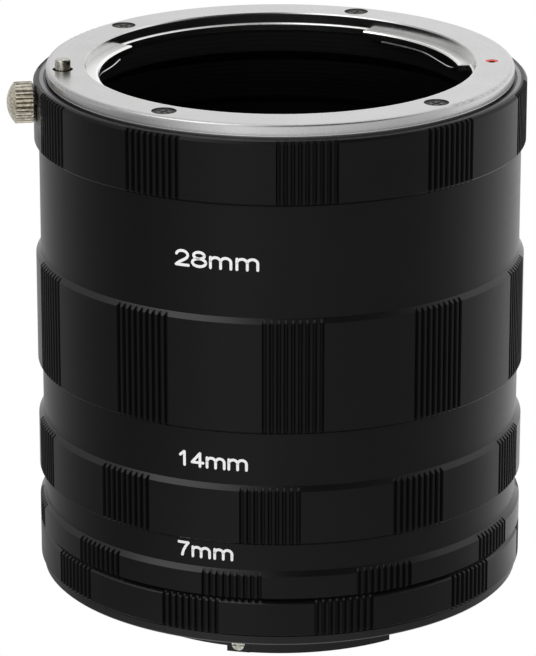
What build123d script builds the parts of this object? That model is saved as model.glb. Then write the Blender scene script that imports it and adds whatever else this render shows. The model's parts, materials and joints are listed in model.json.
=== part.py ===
from build123d import *
import os
from math import cos, radians, sin

# Macro extension tube set, screwed together as one column.
# From the bottom up: the rear bayonet plate, the rear ring, the 7, 14 and 28 mm
# tubes, and the front ring with its lens flange and lens lock.
# Origin: on the tube axis at the lowest face of the rear bayonet. +Z runs
# towards the lens. Millimetres.

# Turned bodies
outer_r = 30.0           # knurled bands
band_step = 0.58         # the plain barrels lie this far below the bands
joint_step = 1.67        # shoulder from a barrel's outside in to its spigot
spigot_wall = 1.85       # stock between the spigot's thread and the light path
relief_depth = 1.1       # how much wider the bore is inside the longer tubes
web = 2.2                # stock left between a socket and the wider bore
edge_chamfer = 0.2       # broken edges at the joints

# Screwed joints. The thread helix itself is left off both halves.
spigot_len = 2.6
thread_gap = 0.3         # radial room for the thread form
socket_floor_gap = 0.2
spigot_chamfer = 0.3

# Lengths along the axis
rear_collar_len = 3.7
rear_plate_t = 1.3
rear_ring_len = 4.7
tube_7_len = 7.0
tube_14_len = 14.0
tube_28_len = 28.0
tube_7_band = 3.5
tube_14_band = 7.29
tube_28_band = 14.16
front_ring_len = 7.65
front_edge_w = 0.3       # sloping outer edge under the flange
front_edge_h = 0.3
flange_t = 1.65

# Grip grooves: ten groups of nine on each band
group_count = 10
grooves_per_group = 9
groove_pitch_deg = 1.62
groove_top_w = 0.56
groove_floor_w = 0.26
groove_depth = 0.42
front_ring_turn = 23.9   # angle of one group on each band
tube_28_turn = 20.8
tube_14_turn = 15.6
tube_7_turn = 6.7
rear_ring_turn = 32.8

# Lens flange. Its holes are placed from the middle of its face.
front_land = 1.55        # black rim left round the flange
flange_w = 4.8           # width of the face
flange_round = 0.5       # outer edge of the face
foot_w = 0.4             # the flange stands on a foot this much inside its edge
foot_h = 0.25
throat_bevel = 0.15
ledge_w = 0.25           # inner step that carries the lugs
lug_w = 1.4
lug_bevel = 0.15         # upper inner edges of the step and the lugs
lug_depth = 1.3          # flange face down to the lugs
lug_t = 0.9
lug_centres = (35.0, 173.0, 284.0)
lug_span = 53.0
sleeve_wall = 0.55       # register that centres the flange in the ring
register_gap = 0.05
front_wall_foot = 4.3    # where that wall opens out, above the ring's lower face
index_offset = 0.35      # inwards
index_dot_r = 0.75
index_depth = 0.25
index_paint_t = 0.15

# Flange screws
screw_offset = 0.09      # outwards
flange_screw_angles = (68.2, 138.5, 238.7, 314.3)
screw_shank_r = 0.85
screw_head_r = 1.35
screw_head_land = 0.2
screw_sink = 0.12        # head top below the face
screw_len = 4.4
thread_hole_gap = 0.02
screw_hole_gap = 0.15
cross_w = 0.34
cross_l = 1.5
cross_depth = 0.35

# Leaf springs under the flange lugs
leaf_t = 0.25
leaf_inset = 0.05        # from the lug's inner edge
leaf_edge = 0.07         # broken upper edge that shows from above
leaf_gap = 0.1           # from the step behind it
leaf_half_l = 7.4        # along the chord
leaf_tab_end = 2.4       # tab runs from one end to here
leaf_bend_end = -4.8
leaf_drop = 0.5
leaf_curl = 0.35         # rise of the free end
rivet_r = 0.4
rivet_head_r = 0.6
rivet_head_t = 0.3
rivet_head_round = 0.1
rivet_depth = 0.6
rivet_place = 5.6
rivet_inset = 0.7        # from the lug's inner edge

# Lens lock: pin, sliding block, spring, stem and knob
lock_angle = 188.3
lock_travel = 1.35
pin_r = 0.95
pin_offset = 0.45        # outwards
pin_height = 1.25        # above the flange face
pin_hole_r = 1.25
pin_seat = 0.6           # pin let into the block
pin_chamfer = 0.15
block_back = 1.3         # from the pin's axis inwards
block_front = 1.8        # from the pin's axis outwards
block_w = 3.9
block_low = 4.65         # heights above the front ring's lower face
block_high = 7.55        # just short of the flange, which stops it
pocket_gap = 0.15
stem_h = 5.37
stem_r = 0.6
stem_seat = 1.0          # stem let into the block and into the knob
slot_gap = 0.12
recess_r = 2.3
recess_h = 4.9
recess_depth = 1.05
knob_r = 2.53
knob_gap = 0.15          # between the knob and the ring
knob_len = 3.2
knob_dome = 1.0
flute_count = 28
flute_depth = 0.2
flute_w = 0.42
lock_spring_r = 0.68
lock_wire_r = 0.12
lock_spring_turns = 5
spring_hole_r = 0.9
spring_hole_depth = 1.6

# Rear bayonet
rear_inset = 0.4         # plate's edge inside the knurled band
rear_seat_w = 7.8        # face that meets the camera
collar_wall = 1.8
rear_lug_w = 1.5
rear_lug_t = 1.6
rear_lug_turn = -4.0
rear_lug_span = 50.0
rear_step = 1.8          # from the tube bore in to the spigot that centres the plate
rear_register_len = 0.8
rear_web_len = 2.4
rear_screw_offset = 0.4  # outwards from the middle of the seat
rear_screw_angles = (45.0, 135.0, 225.0, 315.0)
rear_screw_len = 3.3
stop_angle = 257.5
stop_block_span = 7.0
stop_block_h = 2.1
stop_block_w = 1.6
stop_head_r = 0.8
stop_head_t = 0.35
stop_head_round = 0.2
stop_slot_depth = 0.2
stop_shank_r = 0.5
stop_shank_len = 1.2

# Heights of the joints, worked out from the lengths
seat_z = rear_collar_len
rear_ring_z = seat_z + rear_plate_t
tube_7_z = rear_ring_z + rear_ring_len
tube_14_z = tube_7_z + tube_7_len
tube_28_z = tube_14_z + tube_14_len
front_z = tube_28_z + tube_28_len
front_top = front_z + front_ring_len
face_z = front_top + flange_t

lug_top = face_z - lug_depth
lug_low = lug_top - lug_t

# Radii, worked from the knurled bands inwards
smooth_r = outer_r - band_step
spigot_r = smooth_r - joint_step
bore_r = spigot_r - spigot_wall
relief_r = bore_r + relief_depth
socket_r = spigot_r + thread_gap
socket_depth = spigot_len + socket_floor_gap

flange_r = outer_r - front_land
throat_r = flange_r - flange_w
ledge_r = throat_r - ledge_w
lug_r = ledge_r - lug_w
sleeve_r = throat_r + sleeve_wall
front_wall_r = throat_r  # ring wall below the register
leaf_inner_r = lug_r + leaf_inset
leaf_outer_r = ledge_r - leaf_gap
rivet_path_r = lug_r + rivet_inset

face_middle_r = (throat_r + flange_r) / 2
index_r = face_middle_r - index_offset
flange_screw_r = face_middle_r + screw_offset
pin_path_r = face_middle_r + pin_offset
block_inner_r = pin_path_r - block_back
block_outer_r = pin_path_r + block_front
recess_floor_r = outer_r - recess_depth
knob_back_r = outer_r + knob_gap

rear_plate_r = outer_r - rear_inset
rear_collar_r = rear_plate_r - rear_seat_w
rear_bore_r = rear_collar_r - collar_wall
rear_lug_r = rear_collar_r + rear_lug_w
rear_lug_root = rear_collar_r - edge_chamfer
rear_screw_r = (rear_collar_r + rear_plate_r) / 2 + rear_screw_offset
rear_thread_depth = rear_screw_len + screw_sink - rear_plate_t
rear_register_r = bore_r - rear_step
rear_ring_bore_r = rear_register_r + register_gap
stop_block_r = rear_collar_r + stop_block_w
over = 1.0               # cutting tools run past the faces by this


def turned(*points):
    """Closed outline in the radius-height plane, ready to revolve."""
    with BuildSketch(Plane.XZ) as outline:
        with BuildLine():
            Polyline(*points, close=True)
        make_face()
    return outline.sketch


def sector(height, inner, outer, centre, span):
    """Ring sector on a level plane."""
    start = centre - span / 2
    with BuildSketch(Plane.XY.offset(height)) as outline:
        with BuildLine():
            far = CenterArc((0, 0), outer, start, span)
            near = CenterArc((0, 0), inner, start, span)
            Line(far @ 0, near @ 0)
            Line(far @ 1, near @ 1)
        make_face()
    return outline.sketch


def radial_plane(angle, height, distance=0.0):
    """Plane square to a radius: its x runs round the tube, its y up, its z outwards."""
    a = radians(angle)
    return Plane(
        origin=(distance * cos(a), distance * sin(a), height),
        x_dir=(-sin(a), cos(a), 0),
        z_dir=(cos(a), sin(a), 0),
    )


def grip_grooves(low, turn):
    """Sections of the ten groups of grooves on one knurled band, seen from above."""
    first = turn - groove_pitch_deg * (grooves_per_group - 1) / 2
    flare = groove_top_w - groove_floor_w / 2
    with BuildSketch(Plane.XY.offset(low - over)) as outline:
        for groove in range(grooves_per_group):
            with PolarLocations(outer_r, group_count, first + groove * groove_pitch_deg):
                Polygon(
                    (-groove_depth, -groove_floor_w / 2),
                    (groove_depth, -flare),
                    (groove_depth, flare),
                    (-groove_depth, groove_floor_w / 2),
                    align=None,
                )
    return outline.sketch


def spigot(shoulder):
    """Outline of the plain barrel's top edge and the threaded spigot above it."""
    tip = shoulder + spigot_len
    return (
        (smooth_r, shoulder - edge_chamfer),
        (smooth_r - edge_chamfer, shoulder),
        (spigot_r, shoulder),
        (spigot_r, tip - spigot_chamfer),
        (spigot_r - spigot_chamfer, tip),
        (bore_r, tip),
    )


def extension_tube(base, length, band, turn, relieved):
    """One tube: socket and knurled band below, plain barrel and spigot above."""
    shoulder = base + length
    floor = base + socket_depth
    step = relief_r - bore_r
    relief = (
        (bore_r, shoulder - web),
        (relief_r, shoulder - web - step),
        (relief_r, floor + web + step),
        (bore_r, floor + web),
    )
    with BuildPart() as tube:
        revolve(
            turned(
                (socket_r, base),
                (outer_r - edge_chamfer, base),
                (outer_r, base + edge_chamfer),
                (outer_r, base + band - band_step),
                (smooth_r, base + band),
                *spigot(shoulder),
                *(relief if relieved else ()),
                (bore_r, floor),
                (socket_r, floor),
            )
        )
        extrude(grip_grooves(base, turn), amount=band + over, mode=Mode.SUBTRACT)
    return tube.part


def countersunk_screw(head_z, angle, path_r, length, facing):
    """Countersunk cross-head screw: facing is +1 when its head looks up."""
    land = head_z - facing * screw_head_land
    neck = land - facing * (screw_head_r - screw_shank_r)
    tip = head_z - facing * length
    a = radians(angle)
    spot = (path_r * cos(a), path_r * sin(a), head_z)
    with BuildPart() as screw:
        with BuildSketch(Plane(spot, x_dir=(1, 0, 0), z_dir=(0, -1, 0))):
            with BuildLine():
                Polyline(
                    (0, 0),
                    (screw_head_r, 0),
                    (screw_head_r, land - head_z),
                    (screw_shank_r, neck - head_z),
                    (screw_shank_r, tip - head_z),
                    (0, tip - head_z),
                    close=True,
                )
            make_face()
        revolve(axis=Axis(spot, (0, 0, 1)))
        with BuildSketch(Plane(spot, x_dir=(cos(a), sin(a), 0), z_dir=(0, 0, facing))):
            Rectangle(cross_l, cross_w)
            Rectangle(cross_w, cross_l)
        extrude(amount=-cross_depth, mode=Mode.SUBTRACT)
    return screw.part


def screw_seats(face, angles, path_r, facing, depth):
    """Waste for the countersinks and clearance holes of a ring of screws."""
    head_r = screw_head_r + screw_hole_gap
    shank_r = screw_shank_r + screw_hole_gap
    sink = face - facing * (screw_sink + screw_head_land)
    with BuildPart(mode=Mode.PRIVATE) as waste:
        for angle in angles:
            a = radians(angle)
            spot = (path_r * cos(a), path_r * sin(a), 0)
            with BuildSketch(Plane(spot, x_dir=(1, 0, 0), z_dir=(0, -1, 0))):
                with BuildLine():
                    Polyline(
                        (0, face + facing * over),
                        (head_r, face + facing * over),
                        (head_r, sink),
                        (shank_r, sink - facing * (head_r - shank_r)),
                        (shank_r, face - facing * depth),
                        (0, face - facing * depth),
                        close=True,
                    )
                make_face()
            revolve(axis=Axis(spot, (0, 0, 1)))
    return waste.part


def screw_threads(face, angles, path_r, facing, depth):
    """Waste for the tapped holes that the screws enter."""
    with BuildPart(mode=Mode.PRIVATE) as waste:
        for angle in angles:
            a = radians(angle)
            with BuildSketch(Plane((path_r * cos(a), path_r * sin(a), face), z_dir=(0, 0, -facing))):
                Circle(screw_shank_r + thread_hole_gap)
            extrude(amount=depth)
    return waste.part


def rear_bayonet():
    with BuildPart() as bayonet:
        revolve(
            turned(
                (rear_bore_r, 0),
                (rear_collar_r, 0),
                (rear_collar_r, seat_z),
                (rear_plate_r - edge_chamfer, seat_z),
                (rear_plate_r, seat_z + edge_chamfer),
                (rear_plate_r, rear_ring_z - edge_chamfer),
                (rear_plate_r - edge_chamfer, rear_ring_z),
                (rear_register_r, rear_ring_z),
                (rear_register_r, rear_ring_z + rear_register_len),
                (rear_bore_r, rear_ring_z + rear_register_len),
            )
        )
        for centre in lug_centres:
            lug = sector(0, rear_lug_root, rear_lug_r, centre + rear_lug_turn, rear_lug_span)
            extrude(lug, amount=rear_lug_t)
        stop = sector(0, rear_lug_root, stop_block_r, stop_angle, stop_block_span)
        extrude(stop, amount=stop_block_h)
        with BuildSketch(radial_plane(stop_angle, stop_block_h / 2, stop_block_r - stop_shank_len)):
            Circle(stop_shank_r + thread_hole_gap)
        extrude(amount=stop_shank_len + over, mode=Mode.SUBTRACT)
        add(
            screw_seats(seat_z, rear_screw_angles, rear_screw_r, -1, rear_plate_t + over),
            mode=Mode.SUBTRACT,
        )
    return bayonet.part


def stop_screw():
    with BuildPart() as screw:
        with BuildSketch(radial_plane(stop_angle, stop_block_h / 2, stop_block_r)):
            Circle(stop_head_r)
        extrude(amount=stop_head_t)
        fillet(screw.edges().sort_by(SortBy.DISTANCE)[-1], stop_head_round)
        with BuildSketch(radial_plane(stop_angle, stop_block_h / 2, stop_block_r)):
            Circle(stop_shank_r)
        extrude(amount=-stop_shank_len)
        with BuildSketch(radial_plane(stop_angle, stop_block_h / 2, stop_block_r + stop_head_t)):
            Rectangle(2 * stop_head_r, cross_w)
            Rectangle(cross_w, 2 * stop_head_r)
        extrude(amount=-stop_slot_depth, mode=Mode.SUBTRACT)
    return screw.part


def rear_ring():
    base = rear_ring_z
    web_top = base + rear_web_len
    with BuildPart() as ring:
        revolve(
            turned(
                (rear_ring_bore_r, base),
                (outer_r - edge_chamfer, base),
                (outer_r, base + edge_chamfer),
                (outer_r, tube_7_z - band_step),
                *spigot(tube_7_z)[1:],
                (bore_r, web_top + bore_r - rear_ring_bore_r),
                (rear_ring_bore_r, web_top),
            )
        )
        add(
            screw_threads(base, rear_screw_angles, rear_screw_r, -1, rear_thread_depth),
            mode=Mode.SUBTRACT,
        )
        extrude(grip_grooves(base, rear_ring_turn), amount=rear_ring_len + over, mode=Mode.SUBTRACT)
    return ring.part


def front_ring():
    """Knurled ring under the lens flange, hollowed for the lens lock at the left."""
    register_z = lug_low - register_gap
    floor = front_z + socket_depth
    pocket_low = front_z + block_low - lock_travel - pocket_gap
    pocket_r = (block_inner_r + block_outer_r) / 2
    pocket_l = block_outer_r - block_inner_r + 2 * pocket_gap
    slot_low = stem_h - stem_r - lock_travel - slot_gap
    slot_high = stem_h + stem_r + slot_gap
    slot_w = 2 * (stem_r + slot_gap)
    a = radians(lock_angle)
    with BuildPart() as ring:
        revolve(
            turned(
                (socket_r, front_z),
                (outer_r - edge_chamfer, front_z),
                (outer_r, front_z + edge_chamfer),
                (outer_r, front_top - front_edge_h),
                (outer_r - front_edge_w, front_top),
                (sleeve_r + register_gap, front_top),
                (sleeve_r + register_gap, register_z),
                (front_wall_r, register_z),
                (front_wall_r, front_z + front_wall_foot),
                (bore_r, floor),
                (socket_r, floor),
            )
        )
        # Pocket for the lock block, open at the top under the flange
        with BuildSketch(
            Plane(
                (pocket_r * cos(a), pocket_r * sin(a), pocket_low),
                x_dir=(cos(a), sin(a), 0),
                z_dir=(0, 0, 1),
            )
        ):
            Rectangle(pocket_l, block_w + 2 * pocket_gap)
        extrude(amount=front_top - pocket_low + over, mode=Mode.SUBTRACT)
        # Slot for the stem and round recess behind the knob
        with BuildSketch(radial_plane(lock_angle, front_z + (slot_low + slot_high) / 2, pocket_r)):
            SlotOverall(slot_high - slot_low, slot_w, rotation=90)
        extrude(amount=outer_r - pocket_r + over, mode=Mode.SUBTRACT)
        with BuildSketch(radial_plane(lock_angle, front_z + recess_h, recess_floor_r)):
            Circle(recess_r)
        extrude(amount=over, mode=Mode.SUBTRACT)
        add(
            screw_threads(front_top, flange_screw_angles, flange_screw_r, 1, screw_len),
            mode=Mode.SUBTRACT,
        )
        extrude(
            grip_grooves(front_z, front_ring_turn),
            amount=front_ring_len + over,
            mode=Mode.SUBTRACT,
        )
    return ring.part


def lens_flange():
    with BuildPart() as flange:
        revolve(
            turned(
                (throat_r, lug_top),
                (throat_r, face_z - throat_bevel),
                (throat_r + throat_bevel, face_z),
                (flange_r, face_z),
                (flange_r, front_top + foot_h),
                (flange_r - foot_w, front_top + foot_h),
                (flange_r - foot_w, front_top),
                (sleeve_r, front_top),
                (sleeve_r, lug_low),
                (ledge_r, lug_low),
                (ledge_r, lug_top - lug_bevel),
                (ledge_r + lug_bevel, lug_top),
            )
        )
        rims = flange.edges().filter_by(GeomType.CIRCLE).group_by(SortBy.RADIUS)[-1]
        fillet(rims.sort_by(Axis.Z)[-1], flange_round)
        lug = turned(
            (lug_r, lug_low),
            (throat_r, lug_low),
            (throat_r, lug_top),
            (lug_r + lug_bevel, lug_top),
            (lug_r, lug_top - lug_bevel),
        )
        for centre in lug_centres:
            revolve(Rot(0, 0, centre - lug_span / 2) * lug, axis=Axis.Z, revolution_arc=lug_span)
            with BuildSketch(rivet_spot(centre, lug_low)):
                Circle(rivet_r + thread_hole_gap)
            extrude(amount=rivet_depth, mode=Mode.SUBTRACT)
        add(
            screw_seats(face_z, flange_screw_angles, flange_screw_r, 1, flange_t + over),
            mode=Mode.SUBTRACT,
        )
        a = radians(lock_angle)
        with BuildSketch(Plane((pin_path_r * cos(a), pin_path_r * sin(a), face_z))):
            Circle(pin_hole_r)
        extrude(amount=-flange_t - over, mode=Mode.SUBTRACT)
        with BuildSketch(Plane((index_r, 0, face_z))):
            Circle(index_dot_r)
        extrude(amount=-index_depth, mode=Mode.SUBTRACT)
    return flange.part


def rivet_spot(centre, height):
    """Level plane at the tab end of the leaf spring under one lug."""
    chord = radial_plane(centre, height)
    where = chord.from_local_coords((rivet_place, 0, rivet_path_r - rivet_place**2 / rivet_path_r / 2))
    return Plane(where, z_dir=(0, 0, 1))


def leaf_spring(centre):
    """Bent strip under one lug: a flat tab, a slope and a free end curled up a little."""
    tab = lug_low
    free = lug_low - leaf_drop
    end = free + leaf_curl
    rise = (leaf_tab_end - leaf_bend_end) / 3
    with BuildPart() as leaf:
        with BuildSketch(radial_plane(centre, 0)):
            with BuildLine():
                for lower in (0, leaf_t):
                    Line((leaf_half_l, tab - lower), (leaf_tab_end, tab - lower))
                    Bezier(
                        (leaf_tab_end, tab - lower),
                        (leaf_tab_end - rise, tab - lower),
                        (leaf_bend_end + rise, free - lower),
                        (leaf_bend_end, free - lower),
                    )
                    Bezier(
                        (leaf_bend_end, free - lower),
                        ((leaf_bend_end - leaf_half_l) / 2, free - lower),
                        (-leaf_half_l, end - lower),
                    )
                Line((leaf_half_l, tab), (leaf_half_l, tab - leaf_t))
                Line((-leaf_half_l, end), (-leaf_half_l, end - leaf_t))
            make_face()
        extrude(amount=outer_r)
        with BuildSketch(Plane.XY.offset(free - over)):
            Circle(leaf_outer_r)
            Circle(leaf_inner_r, mode=Mode.SUBTRACT)
        extrude(amount=tab - free + 2 * over, mode=Mode.INTERSECT)
        tops = [face for face in leaf.faces() if face.normal_at(face.center()).Z > 0.5]
        inner = [
            edge
            for face in tops
            for edge in face.edges()
            if abs((edge @ 0.5).X ** 2 + (edge @ 0.5).Y ** 2 - leaf_inner_r**2) < leaf_edge
        ]
        chamfer(inner, leaf_edge)
        with BuildSketch(rivet_spot(centre, tab - leaf_t - over)):
            Circle(rivet_r + thread_hole_gap)
        extrude(amount=leaf_t + 2 * over, mode=Mode.SUBTRACT)
    return leaf.part


def leaf_rivet(centre):
    seat = lug_low - leaf_t
    with BuildPart() as rivet:
        with BuildSketch(rivet_spot(centre, seat)):
            Circle(rivet_head_r)
        extrude(amount=-rivet_head_t)
        chamfer(rivet.edges().group_by(Axis.Z)[0], rivet_head_round)
        with BuildSketch(rivet_spot(centre, seat)):
            Circle(rivet_r)
        extrude(amount=leaf_t + rivet_depth - thread_hole_gap)
    return rivet.part


def index_mark():
    with BuildPart() as mark:
        with BuildSketch(Plane((index_r, 0, face_z - index_depth))):
            Circle(index_dot_r - thread_hole_gap)
        extrude(amount=index_paint_t)
    return mark.part


def lock_pin():
    a = radians(lock_angle)
    low = front_z + block_high - pin_seat
    top = face_z + pin_height
    with BuildPart() as pin:
        with BuildSketch(Plane((pin_path_r * cos(a), pin_path_r * sin(a), low))):
            Circle(pin_r)
        extrude(amount=top - low)
        chamfer(pin.edges().group_by(Axis.Z)[-1], pin_chamfer)
    return pin.part


def lock_block():
    a = radians(lock_angle)
    middle = (block_inner_r + block_outer_r) / 2
    top = front_z + block_high
    low = front_z + block_low
    with BuildPart() as block:
        with BuildSketch(
            Plane((middle * cos(a), middle * sin(a), low), x_dir=(cos(a), sin(a), 0), z_dir=(0, 0, 1))
        ):
            RectangleRounded(block_outer_r - block_inner_r, block_w, edge_chamfer)
        extrude(amount=block_high - block_low)
        with BuildSketch(Plane((pin_path_r * cos(a), pin_path_r * sin(a), top))):
            Circle(pin_r)
        extrude(amount=-pin_seat, mode=Mode.SUBTRACT)
        with BuildSketch(Plane((pin_path_r * cos(a), pin_path_r * sin(a), low))):
            Circle(spring_hole_r)
        extrude(amount=spring_hole_depth, mode=Mode.SUBTRACT)
        with BuildSketch(radial_plane(lock_angle, front_z + stem_h, block_outer_r - stem_seat)):
            Circle(stem_r)
        extrude(amount=stem_seat + over, mode=Mode.SUBTRACT)
    return block.part


def release_stem():
    length = knob_back_r + stem_seat - (block_outer_r - stem_seat)
    with BuildPart() as stem:
        with BuildSketch(radial_plane(lock_angle, front_z + stem_h, block_outer_r - stem_seat)):
            Circle(stem_r)
        extrude(amount=length)
    return stem.part


def release_knob():
    """Fluted round knob with a domed end, its axis along the radius."""
    plane = radial_plane(lock_angle, front_z + stem_h, knob_back_r)
    side = Plane(plane.origin, x_dir=plane.x_dir, z_dir=plane.y_dir * -1)
    axis = Axis(plane.origin, plane.z_dir)
    with BuildPart() as knob:
        with BuildSketch(plane):
            Circle(knob_r)
            with PolarLocations(knob_r, flute_count):
                Polygon(
                    (-flute_depth, 0),
                    (flute_depth, -flute_w),
                    (flute_depth, flute_w),
                    align=None,
                    mode=Mode.SUBTRACT,
                )
        extrude(amount=knob_len)
        with BuildSketch(side):
            with BuildLine():
                Polyline((0, knob_len), (0, 0), (knob_r - edge_chamfer, 0), (knob_r, edge_chamfer))
                Line((knob_r, edge_chamfer), (knob_r, knob_len - knob_dome))
                TangentArc((0, knob_len), (knob_r, knob_len - knob_dome), tangent=(1, 0))
            make_face()
        revolve(axis=axis, mode=Mode.INTERSECT)
        with BuildSketch(plane):
            Circle(stem_r)
        extrude(amount=stem_seat, mode=Mode.SUBTRACT)
    return knob.part


def lock_spring():
    """Round-wire coil between the pocket floor and the hole in the block."""
    a = radians(lock_angle)
    floor = front_z + block_low - lock_travel - pocket_gap
    top = front_z + block_low + spring_hole_depth
    low = floor + lock_wire_r
    height = top - floor - 2 * lock_wire_r
    spot = (pin_path_r * cos(a), pin_path_r * sin(a), low)
    with BuildPart() as spring:
        with BuildLine():
            Helix(height / lock_spring_turns, height, lock_spring_r, center=spot)
        with BuildSketch(Plane((spot[0] + lock_spring_r, spot[1], low), z_dir=(0, 1, 0))):
            Circle(lock_wire_r)
        sweep(is_frenet=True)
    return spring.part


os.makedirs("parts", exist_ok=True)


def save(piece, name):
    piece.label = name
    export_step(piece, f"parts/{name}.step")


save(rear_bayonet(), "rear_bayonet")
save(stop_screw(), "stop_screw")
save(rear_ring(), "rear_ring")
save(extension_tube(tube_7_z, tube_7_len, tube_7_band, tube_7_turn, False), "tube_7mm")
save(extension_tube(tube_14_z, tube_14_len, tube_14_band, tube_14_turn, True), "tube_14mm")
save(extension_tube(tube_28_z, tube_28_len, tube_28_band, tube_28_turn, True), "tube_28mm")
save(front_ring(), "front_ring")
save(lens_flange(), "lens_flange")
save(index_mark(), "index_mark")
save(lock_pin(), "lock_pin")
save(lock_block(), "lock_block")
save(release_stem(), "release_stem")
save(release_knob(), "release_knob")
save(lock_spring(), "lock_spring")

for number, angle in enumerate(flange_screw_angles, start=1):
    screw = countersunk_screw(face_z - screw_sink, angle, flange_screw_r, screw_len, 1)
    save(screw, f"flange_screw_{number}")

for number, angle in enumerate(rear_screw_angles, start=1):
    screw = countersunk_screw(seat_z + screw_sink, angle, rear_screw_r, rear_screw_len, -1)
    save(screw, f"rear_screw_{number}")

for number, centre in enumerate(lug_centres, start=1):
    save(leaf_spring(centre), f"leaf_spring_{number}")
    save(leaf_rivet(centre), f"leaf_rivet_{number}")
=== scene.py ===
import json
import math

import bpy
import numpy as np
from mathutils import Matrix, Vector


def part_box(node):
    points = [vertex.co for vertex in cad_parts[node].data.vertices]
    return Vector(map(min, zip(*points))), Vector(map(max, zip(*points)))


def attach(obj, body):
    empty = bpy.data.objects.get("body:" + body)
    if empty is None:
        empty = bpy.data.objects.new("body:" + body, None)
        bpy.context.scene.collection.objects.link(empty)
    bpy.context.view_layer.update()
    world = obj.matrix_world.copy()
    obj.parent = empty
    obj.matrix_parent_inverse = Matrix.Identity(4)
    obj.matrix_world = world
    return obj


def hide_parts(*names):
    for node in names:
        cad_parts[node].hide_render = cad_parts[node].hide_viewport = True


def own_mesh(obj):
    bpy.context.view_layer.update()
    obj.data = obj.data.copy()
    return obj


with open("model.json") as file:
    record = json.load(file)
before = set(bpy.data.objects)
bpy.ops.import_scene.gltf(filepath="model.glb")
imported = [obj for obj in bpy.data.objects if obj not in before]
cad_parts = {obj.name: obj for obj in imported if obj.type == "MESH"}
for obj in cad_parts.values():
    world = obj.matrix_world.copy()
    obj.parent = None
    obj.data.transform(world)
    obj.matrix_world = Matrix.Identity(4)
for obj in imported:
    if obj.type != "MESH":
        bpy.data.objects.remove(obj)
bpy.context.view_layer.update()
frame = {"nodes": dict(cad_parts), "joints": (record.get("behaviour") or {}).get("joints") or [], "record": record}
nodes = frame["nodes"]
mm = 0.001
feet = (9.7, 16.7, 30.7, 58.7)    # heights of the lower faces of the tubes and the front ring


# A shader socket that can be used in sums. Each operator adds one Math node.
class Wire:
    def __init__(self, tree, socket):
        self.tree = tree
        self.socket = socket

    def __add__(self, other):
        return calc("ADD", self, other)

    def __radd__(self, other):
        return calc("ADD", other, self)

    def __sub__(self, other):
        return calc("SUBTRACT", self, other)

    def __rsub__(self, other):
        return calc("SUBTRACT", other, self)

    def __mul__(self, other):
        return calc("MULTIPLY", self, other)

    def __rmul__(self, other):
        return calc("MULTIPLY", other, self)

    def __truediv__(self, other):
        return calc("DIVIDE", self, other)

    def __rtruediv__(self, other):
        return calc("DIVIDE", other, self)

    def __pow__(self, other):
        return calc("POWER", self, other)

    def __neg__(self):
        return calc("MULTIPLY", self, -1.0)

    def __gt__(self, other):
        return calc("GREATER_THAN", self, other)

    def __lt__(self, other):
        return calc("LESS_THAN", self, other)


# A Math node on numbers and wires, of which at least one is a wire
def calc(operation, *values):
    tree = next(value.tree for value in values if isinstance(value, Wire))
    sockets = {"i" + str(i): value for i, value in enumerate(values)}
    return tree.out(tree.node("Math", {"operation": operation}, **sockets))


def clamp(value, low, high):
    return calc("MAXIMUM", calc("MINIMUM", value, high), low)


# 1 between two values, else 0
def between(value, low, high):
    return (value > low) * (value < high)


# 1 in any of several ranges, else 0
def within(value, ranges):
    return sum((between(value, low, high) for low, high in ranges), 0.0)


# One node tree with a single way to add any node
class Tree:
    def __init__(self, tree):
        self.tree = tree
        tree.nodes.clear()

    # Kind, settings made first, then socket values or links by the socket's name or number
    def node(self, kind, settings=None, **sockets):
        made = self.tree.nodes.new("ShaderNode" + kind)
        for name, value in (settings or {}).items():
            if name == "stops":
                ramp = made.color_ramp.elements
                while len(ramp) < len(value):
                    ramp.new(0.5)
                for element, (place, shade) in zip(ramp, value):
                    element.position = place
                    element.color = shade
            else:
                setattr(made, name, value)
        for name, value in sockets.items():
            numbered = name[0] == "i" and name[1:].isdigit()
            entry = made.inputs[int(name[1:]) if numbered else name.replace("_", " ")]
            if isinstance(value, Wire):
                self.tree.links.new(value.socket, entry)
            else:
                entry.default_value = value
        return made

    def out(self, made, name=0):
        return Wire(self, made.outputs[name])

    # Place on the object in millimetres: x, y, z and the distance from the tube axis
    def place(self):
        spot = self.node("TexCoord")
        parts = self.node("SeparateXYZ", Vector=self.out(spot, "Object"))
        x, y, z = (self.out(parts, i) * 1000.0 for i in range(3))
        return x, y, z, (x * x + y * y) ** 0.5

    # Noise at a place. Its grain is a scale for each axis, then detail and roughness.
    def noise(self, place, grain):
        *scales, detail, roughness = grain
        x, y, z = (along * scale for along, scale in zip(place, scales))
        spot = self.node("CombineXYZ", X=x, Y=y, Z=z)
        settled = {"Scale": 1.0, "Detail": detail, "Roughness": roughness}
        return self.out(self.node("TexNoise", Vector=self.out(spot), **settled))

    # Smooth step from 0 at low to 1 at high
    def step(self, value, low, high):
        smooth = {"interpolation_type": "SMOOTHSTEP"}
        return self.out(self.node("MapRange", smooth, Value=value, i1=low, i2=high))

    def blend(self, share, first, second):
        made = self.node("Mix", {"data_type": "RGBA"}, i0=share, i6=first, i7=second)
        return self.out(made, 2)

    # Depth in millimetres for a height of 1, then strength
    def bump(self, height, depth, strength=1.0, normal=None):
        under = {} if normal is None else {"Normal": normal}
        made = self.node("Bump", Height=height, Distance=depth * mm, Strength=strength, **under)
        return self.out(made)


# A material: colour, roughness and the rest come as values or wires for the shader's sockets
def finish(name, build):
    material = bpy.data.materials.new(name)
    material.use_nodes = True
    tree = Tree(material.node_tree)
    shader = tree.node("BsdfPrincipled", **build(tree))
    tree.node("OutputMaterial", Surface=tree.out(shader))
    return material


def colour(red, green, blue):
    return (red, green, blue, 1.0)


print("materials")

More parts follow.
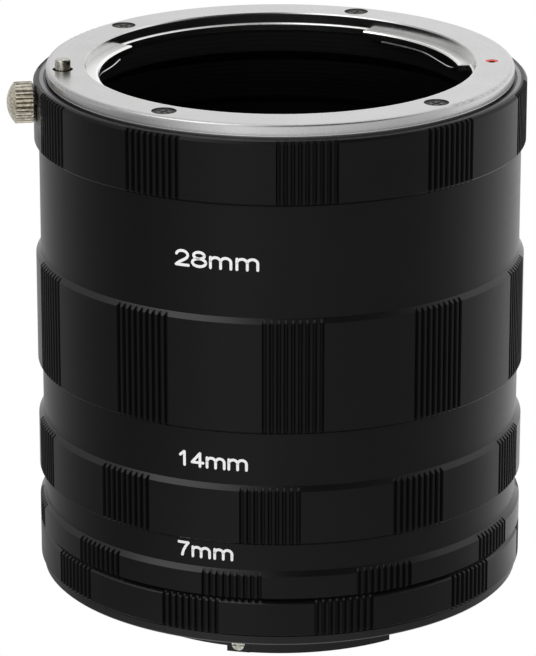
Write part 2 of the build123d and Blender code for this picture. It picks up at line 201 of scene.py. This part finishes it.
anodised = {
    "dark": colour(0.0020, 0.0020, 0.0023),
    "light": colour(0.0046, 0.0046, 0.0049),
    "turning": (0.2, 0.2, 7.0, 3.0, 0.6),     # marks left by the lathe
    "faceMarks": 1.3,             # how much closer they lie across a flat face
    "grain": (9.0, 9.0, 9.0, 2.0, 0.5),
    "cloud": (0.11, 0.11, 0.16, 2.0, 0.5),
    "shares": (0.6, 0.4),         # cloud and grain in the shade
    "roughness": 0.30,
    "grainRough": 0.12,
    "turningRough": 0.1,
    "gloss": 0.13,                # share of the usual mirror strength, low as the dye is sealed
    "relief": (0.006, 0.8),
    "reliefShares": (0.5, 0.7, 4.0),          # turning, grain and ribs in the relief
    "outside": 29.4,              # bands, barrels and their edges lie outside this radius
    "slopeTops": (feet[0], 13.2, 23.99, 44.86),
    "slopeHeight": 0.58,
    "burnish": 0.5,               # clear shine of the slopes, where the dye is rubbed
    "coatRoughness": 0.22,
    "lowerEdges": (5.0, *feet[1:]),
    "edgeHeight": 0.2,
    "heldSides": (150.0, 400.0),  # square of the way from the middle to the side
    "topFace": 66.3,
    "rimSlope": (28.8, 29.25),    # sloping step in the top face, under the flange
}

bore = {
    "radii": (28.02, 28.1),       # the bore's finish gives way to the outside's
    # painted shade deep in the bore, and painted light at its mouth
    "boreShade": colour(0.0009, 0.0009, 0.001),
    "litMouth": colour(0.0045, 0.0045, 0.0045),
    "mouthHeights": (58.0, 65.0),  # painted light towards its mouth, and painted shade deeper in
    "roughness": 0.5,
    "ribPitch": 0.6,              # ridges that stop glare
}

grip = {
    "angles": (32.8, 6.7, 15.6, 20.8, 23.9),  # of one group on each band, from the lowest up
    "groups": 10,
    "half": 7.0,                  # half a group in degrees
    "radius": 29.5,
    "rough": 0.3,
}

knobReflection = {
    "foot": (60.2, 62.2),         # where they fade in and out, by height
    "top": (63.6, 65.6),
    "near": (5.4, 7.2),           # and by the way from the middle towards the front
    "far": (8.2, 10.0),
    "left": -27.0,                # they lie further left than this
    "grain": (3.4, 1.0, 3.0, 4.0, 0.65),
    "layer": 3.0,                 # slice of the noise
    "patches": (0.42, 0.7),
    "strength": 0.75,
    # colour of the painted reflection of the knob
    "shade": colour(0.2, 0.195, 0.18),
}


# Inside a group, the turn from the nearest group's middle is less than half a group
def gripped(x, y, z, r):
    before, *others = grip["angles"]
    middle = before
    for low, angle in zip(feet, others):
        middle = middle + (z > low) * (angle - before)
        before = angle
    share = 360.0 / grip["groups"]
    turn = (calc("ARCTAN2", y, x) * (180.0 / math.pi) - middle) / share
    fromMiddle = (turn - calc("ROUND", turn)) * share
    return (calc("ABSOLUTE", fromMiddle) < grip["half"]) * (r > grip["radius"])


# Painted reflection of the knob: light specks on the ring beside its recess
def scuffed(tree, x, y, z, r):
    tall = tree.step(z, *knobReflection["foot"]) * (1.0 - tree.step(z, *knobReflection["top"]))
    wide = tree.step(-y, *knobReflection["near"]) * (1.0 - tree.step(-y, *knobReflection["far"]))
    spots = tree.step(tree.noise((y, knobReflection["layer"], z), knobReflection["grain"]), *knobReflection["patches"])
    return tall * (x < knobReflection["left"]) * (r > grip["radius"]) * wide * spots


# Black dyed aluminium: turned finish outside, ribbed and flat black inside, with painted shade deep in the bore
def blackAnodised(tree):
    x, y, z, r = tree.place()
    turning = tree.noise((x, y, r * anodised["faceMarks"] + z), anodised["turning"])
    grain = tree.noise((x, y, z), anodised["grain"])
    cloud = tree.noise((x, y, z), anodised["cloud"])
    inside = 1.0 - tree.step(r, *bore["radii"])
    ribs = calc("PINGPONG", z / bore["ribPitch"], 0.5) * inside

    cloudShare, grainShare = anodised["shares"]
    shade = tree.blend(cloud * cloudShare + grain * grainShare, anodised["dark"], anodised["light"])
    # painted reflection of the knob's ridges on the black ring
    shade = tree.blend(scuffed(tree, x, y, z, r) * knobReflection["strength"], shade, knobReflection["shade"])
    # painted shade: the bore's colour darkens deeper in and lightens towards its mouth
    boreShade = tree.blend(tree.step(z, *bore["mouthHeights"]), bore["boreShade"], bore["litMouth"])
    rough = anodised["roughness"] + (grain - 0.5) * anodised["grainRough"]
    rough = rough + (turning - 0.5) * anodised["turningRough"] + gripped(x, y, z, r) * grip["rough"]

    top = z > anodised["topFace"]
    rim = top * between(r, *anodised["rimSlope"])
    outside = r > anodised["outside"]
    slopes = within(z, [(high - anodised["slopeHeight"], high) for high in anodised["slopeTops"]])
    # Hands wear the lower edges at the sides, and leave them dull at the front and back
    edges = within(z, [(low, low + anodised["edgeHeight"]) for low in anodised["lowerEdges"]])
    held = tree.step(x * x, *anodised["heldSides"])

    fall = clamp(r, *anodised["rimSlope"]) * top
    turningHeight, grainHeight, ribHeight = anodised["reliefShares"]
    height = turning * turningHeight + grain * grainHeight + ribs * ribHeight
    relief = tree.bump(height, *anodised["relief"])
    return {
        "Base_Color": tree.blend(inside, shade, boreShade),
        "Roughness": rough * (1.0 - inside) + inside * bore["roughness"],
        "Specular_IOR_Level": anodised["gloss"],
        "Coat_Weight": (slopes * anodised["burnish"] + edges * held) * outside + rim,
        "Coat_Roughness": anodised["coatRoughness"],
        "Normal": tree.bump(-fall, 1.0, 1.0, relief),
    }


bayonet = {
    "dark": colour(0.003, 0.003, 0.0035),
    "light": colour(0.009, 0.009, 0.0095),
    "turning": (0.3, 0.3, 6.0, 3.0, 0.55),
    "wallMarks": 0.8,             # how close they lie along a wall, against a flat face
    "wear": (0.5, 0.5, 0.5, 4.0, 0.6),
    "roughness": 0.27,
    "turningRough": 0.12,
    "gloss": 0.25,
    "relief": (0.004, 0.7),
}


# Black plated bayonet: a little smoother than the rings
def blackBayonet(tree):
    x, y, z, r = tree.place()
    turning = tree.noise((x, y, r + z * bayonet["wallMarks"]), bayonet["turning"])
    wear = tree.noise((x, y, z), bayonet["wear"])
    return {
        "Base_Color": tree.blend(wear, bayonet["dark"], bayonet["light"]),
        "Roughness": bayonet["roughness"] + turning * bayonet["turningRough"],
        "Specular_IOR_Level": bayonet["gloss"],
        "Normal": tree.bump(turning, *bayonet["relief"]),
    }


chrome = {
    "light": colour(0.69, 0.685, 0.68),
    "dark": colour(0.48, 0.48, 0.485),
    "edge": colour(0.95, 0.95, 0.94),         # painted highlight on the lugs and along the edge of the opening
    "rings": (0.06, 0.06, 5.0, 3.0, 0.6),     # left by the lathe
    "faceRings": 1.2,             # how much closer they lie across a flat face
    "pearl": (2.6, 2.6, 2.6, 4.0, 0.7),
    "smear": (0.25, 0.25, 0.4, 3.0, 0.5),
    "shares": (0.3, 0.2, 0.5),    # smear, rings and pearl in the shade
    "roughness": 0.25,
    "innerRoughness": 0.15,       # throat, step and lugs are left smoother
    "innerRadii": (23.75, 23.85),
    "lugRough": 0.2,              # the flat tops of the lugs are rougher
    "ringsRough": 0.07,
    "pearlRough": 0.06,
    "smearRough": 0.05,
    "relief": (0.004, 0.8),
    "reliefShares": (0.5, 2.0),   # rings and pearl in the relief
    "lugs": (66.4, 66.75),        # heights and radii between which the lugs and their ledge lie
    "lugRadii": (21.95, 23.62),
    "lugBevel": (66.55, 66.7),
    "lugTop": 66.69,
    "flatter": 0.2,               # how far the bevel's shine leans back towards level
    "lugLip": (22.0, 22.4),       # worn band along a lug's inner edge, and its slope
    "lipSlope": 0.27,
    "face": 67.7,                 # painted highlight line above this height, beside the opening
    "faceEdge": 23.5,
    "faceEdgeFade": (23.8, 23.9),
    "highlightFront": (0.0, 8.0),      # where the painted highlight line shows: towards the front, and at the back left
    "highlightBack": (12.0, 18.0),
    "highlightLeft": (-8.0, 4.0),
}


# Satin chrome: rings left by the lathe under the plating, with faint handling marks, and painted highlights on the
# lugs and beside the opening
def satinChrome(tree):
    x, y, z, r = tree.place()
    rings = tree.noise((x, y, r * chrome["faceRings"] + z), chrome["rings"])
    pearl = tree.noise((x, y, z), chrome["pearl"])
    smear = tree.noise((x, y, z), chrome["smear"])

    # the lugs and the line beside the opening get a painted highlight
    lugs = between(z, *chrome["lugs"]) * between(r, *chrome["lugRadii"])
    line = (z > chrome["face"]) * (r > chrome["faceEdge"])
    line = line * (1.0 - tree.step(r, *chrome["faceEdgeFade"]))
    back = tree.step(y, *chrome["highlightBack"]) * tree.step(-x, *chrome["highlightLeft"])
    paintedLight = tree.step(-y, *chrome["highlightFront"]) + back
    smearShare, ringsShare, pearlShare = chrome["shares"]
    mottle = smear * smearShare + rings * ringsShare + pearl * pearlShare
    plating = tree.blend(mottle, chrome["light"], chrome["dark"])

    outer = tree.step(r, *chrome["innerRadii"])
    rough = chrome["innerRoughness"] + outer * (chrome["roughness"] - chrome["innerRoughness"])
    flat = lugs * (z > chrome["lugTop"]) * (r > chrome["lugLip"][1])
    rough = rough + flat * chrome["lugRough"] + rings * chrome["ringsRough"]
    rough = rough + (pearl - 0.5) * chrome["pearlRough"] + (smear - 0.5) * chrome["smearRough"]

    bevel = clamp(z, *chrome["lugBevel"]) * -chrome["flatter"]
    lip = clamp(r, *chrome["lugLip"]) * chrome["lipSlope"]
    ringsHeight, pearlHeight = chrome["reliefShares"]
    relief = tree.bump(rings * ringsHeight + pearl * pearlHeight, *chrome["relief"])
    return {
        # painted highlight: the lugs, and the line beside the opening, take the bright colour
        "Base_Color": tree.blend(lugs + line * paintedLight, plating, chrome["edge"]),
        "Metallic": 1.0,
        "Roughness": rough,
        "Normal": tree.bump(bevel + lip, 1.0, 1.0, relief),
    }


smallMetalRough = 0.14


# What small metal parts share: a fine grain changes the roughness, and a height gives the relief
def smallMetal(tree, base, roughness, fine, height, relief):
    return {
        "Base_Color": base,
        "Metallic": 1.0,
        "Roughness": roughness + (fine - 0.5) * smallMetalRough,
        "Normal": tree.bump(height, *relief),
    }


screws = {
    "angles": (68.2, 138.5, 238.7, 314.3),    # on the flange
    "circle": 26.14,
    "far": 9.0,                   # more than the distance to the nearest screw on any head
    "fine": (5.0, 5.0, 5.0, 3.0, 0.6),
    "rim": (0.6, 1.0),            # the edge of the head is darker than its middle
    "dark": colour(0.008, 0.008, 0.008),
    "light": (colour(0.08, 0.08, 0.078), colour(0.15, 0.15, 0.14)),
    "recess": (67.4, 67.8),       # heights between which the cross lies, painted light against its shade
    # painted light for the cross recess
    "paintedLight": colour(0.45, 0.45, 0.43),
    "roughness": 0.5,
    "relief": (0.006, 0.6),
}


# Blackened screw heads, grey in the middle, with painted light in the cross recess against its shade
def darkScrew(tree):
    x, y, z, _ = tree.place()
    fine = tree.noise((x, y, z), screws["fine"])
    nearest = screws["far"]
    for angle in np.radians(screws["angles"]).tolist():
        across = x - screws["circle"] * math.cos(angle)
        along = y - screws["circle"] * math.sin(angle)
        nearest = calc("MINIMUM", (across * across + along * along) ** 0.5, nearest)
    head = tree.blend(fine, *screws["light"])
    head = tree.blend(tree.step(nearest, *screws["rim"]), head, screws["dark"])
    cross = between(z, *screws["recess"]) * (nearest < screws["rim"][1])
    # painted light in the cross recess, where its shade falls
    base = tree.blend(cross, head, screws["paintedLight"])
    return smallMetal(tree, base, screws["roughness"], fine, fine, screws["relief"])


steel = {
    "dark": colour(0.10, 0.095, 0.07),
    "light": colour(0.62, 0.61, 0.55),
    "fine": (3.0, 3.0, 1.5, 4.0, 0.7),
    "brightShare": (0.25, 0.65),
    "pinAxis": -26.22,            # along x
    "pin": (65.0, 69.2),          # heights between which the lock pin lies
    "shadedSide": (-0.15, 0.55),      # from the pin's axis towards the lens, the side painted darker as shade
    "sideShade": 0.45,
    "roughness": 0.27,
    "relief": (0.012, 0.7),
}


# Bright steel gone olive: the lock pin is painted darker on its side towards the lens, as shade
def oliveSteel(tree):
    x, y, z, _ = tree.place()
    fine = tree.noise((x, y, z), steel["fine"])
    # painted shade on the pin's side towards the lens
    shadedSide = tree.step(x - steel["pinAxis"], *steel["shadedSide"]) * between(z, *steel["pin"])
    brightShare = tree.step(fine - shadedSide * steel["sideShade"], *steel["brightShare"])
    base = tree.blend(brightShare, steel["dark"], steel["light"])
    return smallMetal(tree, base, steel["roughness"], fine, fine, steel["relief"])


spring = {
    "dark": colour(0.75, 0.75, 0.76),
    "light": colour(0.95, 0.95, 0.96),
    "fine": (4.0, 4.0, 4.0, 3.0, 0.6),
    "tab": (65.5, 65.65),
    "tabRough": 0.2,
    "plain": 0.1,                 # relief of the rest, against the tab's
    "roughness": 0.24,
    "relief": (0.12, 0.8),
}


# Spring steel: the tabs have a rough sheared edge that glints here and there
def springSteel(tree):
    x, y, z, _ = tree.place()
    fine = tree.noise((x, y, z), spring["fine"])
    sheared = tree.step(z, *spring["tab"])
    base = tree.blend(fine, spring["dark"], spring["light"])
    roughness = spring["roughness"] + sheared * spring["tabRough"]
    height = fine * (spring["plain"] + sheared)
    return smallMetal(tree, base, roughness, fine, height, spring["relief"])


knob = {
    "turn": math.radians(188.3),
    "height": 64.07,
    "fine": (2.4, 2.4, 3.6, 4.0, 0.7),
    "flute": (2.31, 2.48),        # radii of the dark root and the bright ridge
    "unevenness": 0.06,
    "domeFoot": (32.25, 32.45),   # distance from the tube axis at which the dome starts
    "dark": colour(0.08, 0.072, 0.055),
    "light": (colour(0.42, 0.39, 0.31), colour(0.92, 0.86, 0.72)),
    "tarnish": (0.35, 0.65),
    "roughness": 0.3,
    "relief": (0.006, 0.6),
}


# Nickel knob: bright ridges, dark at the roots of the flutes, and a satin dome
def warmNickel(tree):
    x, y, z, _ = tree.place()
    out = x * math.cos(knob["turn"]) + y * math.sin(knob["turn"])
    across = y * math.cos(knob["turn"]) - x * math.sin(knob["turn"])
    up = z - knob["height"]
    fromAxis = (across * across + up * up) ** 0.5
    fine = tree.noise((x, y, z), knob["fine"])
    ridge = tree.step(fromAxis + (fine - 0.5) * knob["unevenness"], *knob["flute"])
    brightShare = calc("MAXIMUM", ridge, tree.step(out, *knob["domeFoot"]))
    metal = tree.blend(tree.step(fine, *knob["tarnish"]), *knob["light"])
    base = tree.blend(brightShare, knob["dark"], metal)
    return smallMetal(tree, base, knob["roughness"], fine, fine, knob["relief"])


paint = {
    "centre": 25.7,               # of the index dimple, along x
    "flecks": (12.0, 12.0, 12.0, 2.0, 0.5),
    "rim": (0.36, 0.54),
    "unevenness": 0.2,
    # near black: painted shade in the dimple's centre
    "dark": colour(0.012, 0.001, 0.001),
    "light": colour(0.85, 0.13, 0.10),
    "roughness": 0.5,
    "flecksRough": 0.12,
    "gloss": 0.02,
    "relief": (0.01, 0.5),
}


# Red paint in the index dimple, thin and pink where it wets the rim; its centre is painted near black as the
# dimple's shade
def redPaint(tree):
    x, y, z, _ = tree.place()
    across = x - paint["centre"]
    fromCentre = (across * across + y * y) ** 0.5
    flecks = tree.noise((x, y, z), paint["flecks"])
    rim = tree.step(fromCentre + (flecks - 0.5) * paint["unevenness"], *paint["rim"])
    return {
        "Base_Color": tree.blend(rim, paint["dark"], paint["light"]),
        "Roughness": paint["roughness"] + flecks * paint["flecksRough"],
        "Specular_IOR_Level": paint["gloss"],
        "Normal": tree.bump(flecks, *paint["relief"]),
    }


ink = {
    "thin": colour(0.68, 0.68, 0.68),
    "full": colour(0.95, 0.95, 0.95),
    "flecks": (9.0, 9.0, 9.0, 3.0, 0.6),
    "pinholes": (0.3, 0.42),
    "roughness": 0.5,
    "flecksRough": 0.2,
    "relief": (0.008, 0.5),
}


# Screen printed white: flat, with small pinholes
def whitePrint(tree):
    x, y, z, _ = tree.place()
    flecks = tree.noise((x, y, z), ink["flecks"])
    return {
        "Base_Color": tree.blend(tree.step(flecks, *ink["pinholes"]), ink["thin"], ink["full"]),
        "Roughness": ink["roughness"] + (flecks - 0.5) * ink["flecksRough"],
        "Normal": tree.bump(flecks, *ink["relief"]),
    }


finishes = {
    "black_anodised": finish("blackAnodised", blackAnodised),
    "black_bayonet": finish("blackBayonet", blackBayonet),
    "satin_chrome": finish("satinChrome", satinChrome),
    "dark_screw": finish("darkScrew", darkScrew),
    "bright_screw": finish("oliveSteel", oliveSteel),
    "spring_steel": finish("springSteel", springSteel),
    "warm_nickel": finish("warmNickel", warmNickel),
    "red_paint": finish("redPaint", redPaint),
    "white_print": finish("whitePrint", whitePrint),
}

for part in frame["record"]["subparts"]:
    shown = nodes[part["node"]]
    shown.data.materials.clear()
    shown.data.materials.append(finishes[part["material_slot"]])


# Skin over rows of points, each row one ring of the surface, closed at both ends
def skin(rows):
    count, size = rows.shape[:2]
    index = np.arange(count * size).reshape(count, size)
    after = np.roll(index, -1, axis=1)
    quads = np.stack([index[:-1], after[:-1], after[1:], index[1:]], axis=-1).reshape(-1, 4)
    return rows.reshape(-1, 3), quads.tolist() + [index[0, ::-1].tolist(), index[-1].tolist()]


# One object from several skins, riding on a body, with the finish of its slot
def piece(name, skins, body, slotName):
    points, faces, count = [], [], 0
    for places, rings in skins:
        points.append(places)
        faces += [tuple(i + count for i in face) for face in rings]
        count += len(places)
    mesh = bpy.data.meshes.new(name)
    mesh.from_pydata(np.concatenate(points).tolist(), [], faces)
    mesh.materials.append(finishes[slotName])
    mesh.update()
    made = bpy.data.objects.new(name, mesh)
    bpy.context.scene.collection.objects.link(made)
    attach(made, body)
    return made


print("threads")

thread = {
    "spigots": (       # name and body, from the lowest up
        ("thread_rear", "rear_mount"),
        ("thread_7mm", "tube_7"),
        ("thread_14mm", "tube_14"),
        ("thread_28mm", "tube_28"),
    ),
    "root": 27.7,
    "crest": 27.98,
    "pitch": 0.6,
    "start": 0.45,     # above the shoulder, on which the next ring's lower face rests
    "turns": 2.75,
    "rootWidth": 0.5,
    "crestWidth": 0.1,
    "runOut": 25.0,    # degrees over which an end fades into the wall
    "endHeight": 0.04,  # share of the crest left at the very end
    "stepDeg": 3.0,
}

# Ridge of a screw thread: a trapezoid carried along a helix. Height is the start plus the
# pitch times the turns made, and the crest sinks to the root over the first and last degrees.
angle = np.radians(np.arange(0, thread["turns"] * 360 + 1, thread["stepDeg"]))
fade = np.minimum(angle, angle[-1] - angle) / math.radians(thread["runOut"])
root = np.full_like(angle, thread["root"])
crest = root + (thread["crest"] - thread["root"]) * np.clip(fade, thread["endHeight"], 1)
radii = np.stack([root, crest, crest, root], axis=1)
halfRoot, halfCrest = thread["rootWidth"] / 2, thread["crestWidth"] / 2
profile = np.array([halfRoot, halfCrest, -halfCrest, -halfRoot])
for (name, body), shoulder in zip(thread["spigots"], feet):
    climb = shoulder + thread["start"] + thread["pitch"] * angle / (2 * math.pi)
    rows = np.stack([
        radii * np.cos(angle)[:, None],
        radii * np.sin(angle)[:, None],
        climb[:, None] + profile[None, :],
    ], axis=-1) * mm
    piece(name, [skin(rows)], body, "black_anodised")


print("lock spring")

coil = {"wire": 0.12, "turns": 5, "ringsPerTurn": 36, "sides": 12}

# The coil under the lens lock is shown by a copy with a mesh of its own. Its middle line is a
# helix, and each ring lies across it: outwards, and the way along crossed with outwards.
low, high = (np.array(corner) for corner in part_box("lock_spring"))
wire = coil["wire"] * mm
radius = (high[0] - low[0]) / 2 - wire
rise = high[2] - low[2] - 2 * wire
angle = np.linspace(0, 2 * math.pi * coil["turns"], coil["turns"] * coil["ringsPerTurn"] + 1)
outwards = np.stack([np.cos(angle), np.sin(angle), angle * 0], axis=1)
along = np.stack([
    -radius * np.sin(angle),
    radius * np.cos(angle),
    angle * 0 + rise / (2 * math.pi * coil["turns"]),
], axis=1)
along /= np.linalg.norm(along, axis=1)[:, None]
middle = outwards * radius + (low + high) / 2
middle[:, 2] = low[2] + wire + rise * angle / angle[-1]
turn = np.linspace(0, 2 * math.pi, coil["sides"], endpoint=False)[None, :, None]
rows = middle[:, None] + wire * (
    np.cos(turn) * outwards[:, None] + np.sin(turn) * np.cross(along, outwards)[:, None]
)
lockCoil = piece("lock_coil", [skin(rows)], "front_mount", "spring_steel")
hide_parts("lock_spring")
release = next(joint for joint in frame["joints"] if joint["name"] == "lens_release")
1 - release["range_m"][1] / (high[2] - low[2])
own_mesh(lockCoil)


print("lettering")

marks = {
    # Words, body, height of the line, digit height, then angle and width of each sign
    "list": (
        (
            "28mm", "tube_28", 50.57, 2.07,
            ((245.2, 1.9), (249.21, 2.0), (253.55, 2.79), (259.7, 2.79)),
        ),
        (
            "14mm", "tube_14", 25.74, 1.97,
            ((245.9, 0.88), (248.85, 1.72), (252.5, 2.45), (257.7, 2.45)),
        ),
        (
            "7mm", "tube_7", 14.24, 1.93,
            ((245.4, 1.56), (248.9, 2.45), (254.25, 2.45)),
        ),
    ),
    "barrel": 29.42,
    "thickness": 0.03,
    "sink": 0.01,
    "stroke": 0.34,
    "smallHeight": 0.78,  # of m against the digits
    "pace": 0.07,         # distance between rings of a stroke
    "capTurns": (90, 78, 62, 45, 25),
    "tip": 0.05,          # share of the half width left at the very end
    "top": 0.97,          # width of the top against the foot
    "reach": 0.05,        # how far the way along is looked at, forwards and back
}


# Points of an elliptic arc between two angles in degrees
def bow(middle, reach, first, last, count=24):
    turn = np.radians(np.linspace(first, last, count))
    way = np.stack([np.cos(turn), np.sin(turn)], axis=1)
    return np.array(middle) + np.array(reach) * way


# Points of a cubic curve: each of the four points counts by its share of t and 1 - t
def bend(a, b, c, d, count=24):
    t = np.linspace(0, 1, count)[:, None]
    a, b, c, d = (np.array(p) for p in (a, b, c, d))
    return a * (1 - t) ** 3 + b * 3 * t * (1 - t) ** 2 + c * 3 * t * t * (1 - t) + d * t**3


# Middle lines of the strokes of each sign, in a box of side one
signs = {
    "1": ([(0.0, 0.74), (0.9, 1.0)], [(1.0, 1.0), (1.0, 0.0)]),
    "2": (
        np.concatenate([
            bow((0.49, 0.71), (0.46, 0.29), 170, -28),
            bend((0.9, 0.57), (0.76, 0.38), (0.28, 0.26), (0.0, 0.0))[1:],
        ]),
        [(0.0, 0.0), (1.0, 0.0)],
    ),
    "4": ([(0.72, 1.0), (0.0, 0.28)], [(0.0, 0.28), (1.0, 0.28)], [(0.72, 1.0), (0.72, 0.0)]),
    "7": ([(0.0, 1.0), (1.0, 1.0)], bend((1.0, 1.0), (0.74, 0.76), (0.45, 0.4), (0.36, 0.0))),
    "8": (bow((0.5, 0.77), (0.4, 0.23), 0, 360, 49), bow((0.5, 0.27), (0.5, 0.27), 0, 360, 49)),
    "m": (
        [(0.0, 1.0), (0.0, 0.0)],
        np.concatenate([bow((0.25, 0.6), (0.25, 0.4), 180, 0), [(0.5, 0.0)]]),
        np.concatenate([bow((0.75, 0.6), (0.25, 0.4), 180, 0), [(1.0, 0.0)]]),
    ),
}


# Points of a line at some ways along it, where run is the way to each of the line's own points
def pointsAt(way, run, line):
    return np.stack([np.interp(way, run, line[:, i]) for i in (0, 1)], axis=1)


# A stroke is a flat strip carried along its middle line and closed by half circles: past each
# end, the half width is the root of the stroke's half width squared less the way out squared.
# The strip is then wrapped: the way along the line, over the radius, is the turn.
def wrappedStroke(line, first, height):
    half = marks["stroke"] / 2
    run = np.concatenate([[0], np.cumsum(np.hypot(*np.diff(line, axis=0).T))])
    inner = np.linspace(0, run[-1], max(3, int(run[-1] / marks["pace"]) + 1))
    cap = half * np.sin(np.radians(marks["capTurns"]))
    along = np.concatenate([-cap, inner, run[-1] + cap[::-1]])
    past = np.maximum(np.maximum(-along, along - run[-1]), 0)
    wide = np.sqrt(np.maximum(half**2 - past**2, (half * marks["tip"]) ** 2))
    held = np.clip(along, 0, run[-1])
    forwards = pointsAt(np.minimum(held + marks["reach"], run[-1]), run, line)
    back = pointsAt(np.maximum(held - marks["reach"], 0), run, line)
    ahead = forwards - back
    ahead /= np.hypot(*ahead.T)[:, None]
    middle = pointsAt(held, run, line) + ahead * (along - held)[:, None]
    side = np.stack([-ahead[:, 1], ahead[:, 0]], axis=1) * wide[:, None]
    top = side * marks["top"]
    flat = np.stack([middle + side, middle + top, middle - top, middle - side], axis=1)
    low, high = marks["barrel"] - marks["sink"], marks["barrel"] + marks["thickness"]
    radius = np.array([low, high, high, low])
    turn = math.radians(first) + flat[:, :, 0] / marks["barrel"]
    up = height + flat[:, :, 1]
    return np.stack([radius * np.cos(turn), radius * np.sin(turn), up], axis=-1) * mm


for words, body, line, digit, places in marks["list"]:
    strokes = []
    for sign, (first, width) in zip(words, places):
        tall = digit * (marks["smallHeight"] if sign == "m" else 1.0)
        room = np.array([width, tall]) - marks["stroke"]
        for stroke in signs[sign]:
            middle = np.asarray(stroke, float) * room + marks["stroke"] / 2
            strokes.append(skin(wrappedStroke(middle, first, line)))
    piece("mark_" + words, strokes, body, "white_print")


print("stage and light")

studio = {
    "floorSize": 6.0,
    "floorShade": colour(0.55, 0.55, 0.55),
    "white": colour(1.0, 1.0, 1.0),
    "shadeEdge": (19.5, 21.5),     # radii in millimetres of the shade under the tubes
    "ambient": 0.6,
    # How bright the table, the walls and the ceiling look in gloss: each pair is an angle in
    # degrees, from the front to the right, and a level
    "table": (
        (-180, 0.9), (-130, 0.62), (-90, 0.42), (-65, 0.35), (-40, 0.8), (-20, 1.15), (0, 0.9),
        (20, 0.75), (45, 0.65), (65, 0.6), (80, 0.75), (105, 1.15), (140, 1.1), (180, 0.9),
    ),
    "walls": (
        (-180, 0.98), (-172, 0.9), (-146, 0.7), (-130, 0.45), (-112, 0.6), (-65, 0.5), (-40, 0.8),
        (-20, 1.1), (0, 0.85), (30, 0.72), (60, 0.62), (88, 0.75), (123, 0.95), (172, 1.04),
        (180, 1.0),
    ),
    "ceiling": (
        (-180, 1.0), (-150, 0.8), (-123, 0.5), (-109, 1.0), (-94, 2.0), (-76, 2.4), (-52, 2.0),
        (-22, 0.5), (-5, 0.08), (19, 0.02), (76, 0.03), (94, 0.2), (109, 0.5), (123, 0.9),
        (180, 1.0),
    ),
    "ceilingFoot": (0.64, 0.82),   # sine of the height at which the ceiling takes over
    "aim": (0, 0, 0.035),
    "boxes": (                     # name, place, width, height, power
        ("rightBox", (0.80, 0.15, 0.45), 1.0, 1.0, 4.5),
        ("leftBox", (-0.80, 0.25, 0.40), 0.8, 0.8, 2.6),
        ("topBox", (0.0, 0.15, 0.95), 1.0, 1.0, 4.5),
        ("frontFill", (-0.50, -0.80, 0.60), 0.6, 0.6, 3.4),
    ),
}


# Level for a direction seen from above, read from a table of angles
def levelAround(tree, x, y, table):
    most = max(level for _, level in table)
    stops = [(angle / 360 + 0.5, colour(*[level / most] * 3)) for angle, level in table]
    heading = calc("ARCTAN2", x, -y) / (2 * math.pi) + 0.5
    return tree.out(tree.node("ValToRGB", {"stops": stops}, i0=heading)) * most


# Rays that have to find plain white
def whiteRays(tree, path):
    return tree.out(path, "Is Camera Ray") + tree.out(path, "Is Transmission Ray")


half = studio["floorSize"] / 2
corners = [(-half, -half, 0), (half, -half, 0), (half, half, 0), (-half, half, 0)]
floorMesh = bpy.data.meshes.new("floor")
floorMesh.from_pydata(corners, [], [(0, 1, 2, 3)])
floor = bpy.data.objects.new("floor", floorMesh)
bpy.context.scene.collection.objects.link(floor)

# The camera sees plain white, gloss sees a table lit in soft patches, and the rest a grey card.
# Under the tubes the card shows to all, dark in their shade.
floorMaterial = bpy.data.materials.new("floorPaper")
floorMaterial.use_nodes = True
paper = Tree(floorMaterial.node_tree)
path = paper.node("LightPath")
x, y, _, r = paper.place()
card = paper.node("BsdfDiffuse", Color=studio["floorShade"])
level = levelAround(paper, x, y, studio["table"])
glow = paper.node("Emission", Color=studio["white"], Strength=level)
white = paper.node("Emission", Color=studio["white"], Strength=1.0)
outside = paper.step(r, *studio["shadeEdge"])
gloss = paper.out(path, "Is Glossy Ray") * outside
dull = paper.node("MixShader", i0=gloss, i1=paper.out(card), i2=paper.out(glow))
seen = whiteRays(paper, path) * outside
both = paper.node("MixShader", i0=seen, i1=paper.out(dull), i2=paper.out(white))
paper.node("OutputMaterial", Surface=paper.out(both))
floorMesh.materials.append(floorMaterial)

world = bpy.data.worlds.new("studio")
bpy.context.scene.world = world
world.use_nodes = True
sky = Tree(world.node_tree)
path = sky.node("LightPath")
direction = sky.node("SeparateXYZ", Vector=sky.out(sky.node("TexCoord"), "Generated"))
x, y, z = (sky.out(direction, i) for i in range(3))
over = sky.step(z, *studio["ceilingFoot"])
walls = levelAround(sky, x, y, studio["walls"])
room = walls * (1.0 - over) + levelAround(sky, x, y, studio["ceiling"]) * over
glossy = sky.out(path, "Is Glossy Ray")
seen = whiteRays(sky, path)
strength = seen + glossy * room + (1.0 - seen - glossy) * studio["ambient"]
background = sky.node("Background", Color=studio["white"], Strength=strength)
sky.node("OutputWorld", Surface=sky.out(background))

for name, place, width, height, power in studio["boxes"]:
    lamp = bpy.data.lights.new(name, "AREA")
    lamp.shape = "RECTANGLE"
    lamp.size = width
    lamp.size_y = height
    lamp.energy = power
    box = bpy.data.objects.new(name, lamp)
    box.location = place
    box.rotation_euler = (Vector(studio["aim"]) - Vector(place)).to_track_quat("-Z", "Y").to_euler()
    box.visible_camera = False
    box.visible_glossy = False
    bpy.context.scene.collection.objects.link(box)


print("camera")

# Fitted to the photo's outline and joint lines
lens = {
    "place": (-1.481, -487.05, 198.39),
    "down": 18.674,
    "length": 227.45,
    "sensor": 36.0,
    "clip": (0.01, 20.0),
}
view = bpy.data.cameras.new("photoView")
view.lens = lens["length"]
view.sensor_width = lens["sensor"]
view.sensor_fit = "AUTO"
view.clip_start, view.clip_end = lens["clip"]
camera = bpy.data.objects.new("photoView", view)
camera.location = [c * mm for c in lens["place"]]
camera.rotation_euler = (math.radians(90 - lens["down"]), 0, 0)
bpy.context.scene.collection.objects.link(camera)
bpy.context.scene.camera = camera
bpy.context.scene.view_settings.view_transform = "Standard"
